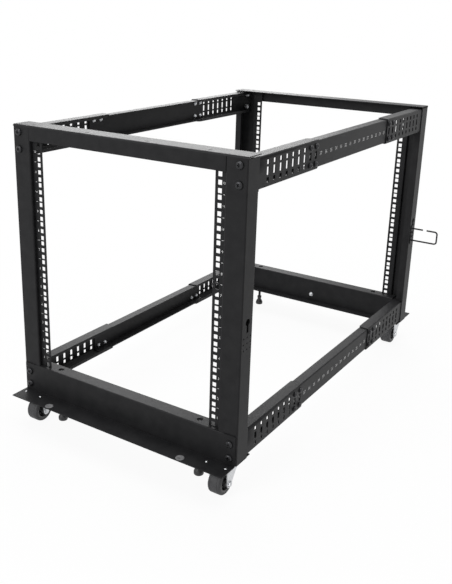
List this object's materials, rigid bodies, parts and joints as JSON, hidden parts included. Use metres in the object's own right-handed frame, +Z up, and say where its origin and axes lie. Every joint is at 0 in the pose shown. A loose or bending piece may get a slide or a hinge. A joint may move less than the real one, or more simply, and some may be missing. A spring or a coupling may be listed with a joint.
{
  "type": "four post open frame rack",
  "caption": "Open frame rack on swivel casters: formed posts with square holes, telescoping side rails with slots, top and base beams, levelling feet and a cable ring.",
  "frame": {"origin": "on the floor, midway between the left and right posts and midway between the front and rear mounting faces", "axes": "+X to the right seen from the front, +Y to the rear, +Z up"},
  "size_m": [0.6692, 1.076, 0.7105],
  "materials": {
    "powder_coat": "fine textured black powder coat",
    "zinc_plate": "bright zinc plating",
    "tyre": "dark rubber",
    "wheel_centre": "moulded plastic",
    "foot": "black moulded pad on a threaded stem"
  },
  "bodies": {
    "front_frame": {"front_left_post": "powder_coat", "front_right_post": "powder_coat", "front_top_beam": "powder_coat", "front_base_beam": "powder_coat", "top_left_front_bracket": "powder_coat", "top_right_front_bracket": "powder_coat", "bottom_left_front_bracket": "powder_coat", "bottom_right_front_bracket": "powder_coat", "front_left_caster_plate": "zinc_plate", "front_right_caster_plate": "zinc_plate"},
    "middle_rails": {"top_left_middle_rail": "powder_coat", "top_right_middle_rail": "powder_coat", "bottom_left_middle_rail": "powder_coat", "bottom_right_middle_rail": "powder_coat"},
    "rear_frame": {"rear_left_post": "powder_coat", "rear_right_post": "powder_coat", "rear_top_beam": "powder_coat", "rear_base_beam": "powder_coat", "top_left_rear_bracket": "powder_coat", "top_right_rear_bracket": "powder_coat", "bottom_left_rear_bracket": "powder_coat", "bottom_right_rear_bracket": "powder_coat", "rear_left_caster_plate": "zinc_plate", "rear_right_caster_plate": "zinc_plate", "cable_hook": "powder_coat"},
    "front_left_caster": {"front_left_caster_fork": "zinc_plate"},
    "front_left_wheel": {"front_left_caster_wheel": "wheel_centre", "front_left_caster_tyre": "tyre"},
    "front_left_foot": {"front_left_levelling_foot": "foot"},
    "front_right_caster": {"front_right_caster_fork": "zinc_plate"},
    "front_right_wheel": {"front_right_caster_wheel": "wheel_centre", "front_right_caster_tyre": "tyre"},
    "front_right_foot": {"front_right_levelling_foot": "foot"},
    "rear_left_caster": {"rear_left_caster_fork": "zinc_plate"},
    "rear_left_wheel": {"rear_left_caster_wheel": "wheel_centre", "rear_left_caster_tyre": "tyre"},
    "rear_left_foot": {"rear_left_levelling_foot": "foot"},
    "rear_right_caster": {"rear_right_caster_fork": "zinc_plate"},
    "rear_right_wheel": {"rear_right_caster_wheel": "wheel_centre", "rear_right_caster_tyre": "tyre"},
    "rear_right_foot": {"rear_right_levelling_foot": "foot"}
  },
  "joints": [
    {"name": "depth_slide", "type": "slide", "parent": "front_frame", "child": "rear_frame", "axis": [0, 1, 0], "range_m": [-0.384, 0.058]},
    {"name": "middle_rail_slide", "type": "slide", "parent": "front_frame", "child": "middle_rails", "axis": [0, 1, 0], "range_m": [-0.192, 0.029]},
    {"name": "front_left_caster_swivel", "type": "hinge", "parent": "front_frame", "child": "front_left_caster", "pos_m": [-0.259, -0.474, 0.067], "axis": [0, 0, 1], "continuous": true},
    {"name": "front_left_wheel_spin", "type": "hinge", "parent": "front_left_caster", "child": "front_left_wheel", "pos_m": [-0.259, -0.486, 0.028], "axis": [1, 0, 0], "continuous": true},
    {"name": "front_left_foot_screw", "type": "slide", "parent": "front_frame", "child": "front_left_foot", "axis": [0, 0, -1], "range_m": [-0.008, 0.018]},
    {"name": "front_right_caster_swivel", "type": "hinge", "parent": "front_frame", "child": "front_right_caster", "pos_m": [0.259, -0.474, 0.067], "axis": [0, 0, 1], "continuous": true},
    {"name": "front_right_wheel_spin", "type": "hinge", "parent": "front_right_caster", "child": "front_right_wheel", "pos_m": [0.259, -0.486, 0.028], "axis": [1, 0, 0], "continuous": true},
    {"name": "front_right_foot_screw", "type": "slide", "parent": "front_frame", "child": "front_right_foot", "axis": [0, 0, -1], "range_m": [-0.008, 0.018]},
    {"name": "rear_left_caster_swivel", "type": "hinge", "parent": "rear_frame", "child": "rear_left_caster", "pos_m": [-0.259, 0.474, 0.067], "axis": [0, 0, 1], "continuous": true},
    {"name": "rear_left_wheel_spin", "type": "hinge", "parent": "rear_left_caster", "child": "rear_left_wheel", "pos_m": [-0.259, 0.462, 0.028], "axis": [1, 0, 0], "continuous": true},
    {"name": "rear_left_foot_screw", "type": "slide", "parent": "rear_frame", "child": "rear_left_foot", "axis": [0, 0, -1], "range_m": [-0.008, 0.018]},
    {"name": "rear_right_caster_swivel", "type": "hinge", "parent": "rear_frame", "child": "rear_right_caster", "pos_m": [0.259, 0.474, 0.067], "axis": [0, 0, 1], "continuous": true},
    {"name": "rear_right_wheel_spin", "type": "hinge", "parent": "rear_right_caster", "child": "rear_right_wheel", "pos_m": [0.259, 0.462, 0.028], "axis": [1, 0, 0], "continuous": true},
    {"name": "rear_right_foot_screw", "type": "slide", "parent": "rear_frame", "child": "rear_right_foot", "axis": [0, 0, -1], "range_m": [-0.008, 0.018]}
  ],
  "couplings": [
    {"joint": "middle_rail_slide", "follows": "depth_slide", "ratio": 0.5}
  ]
}
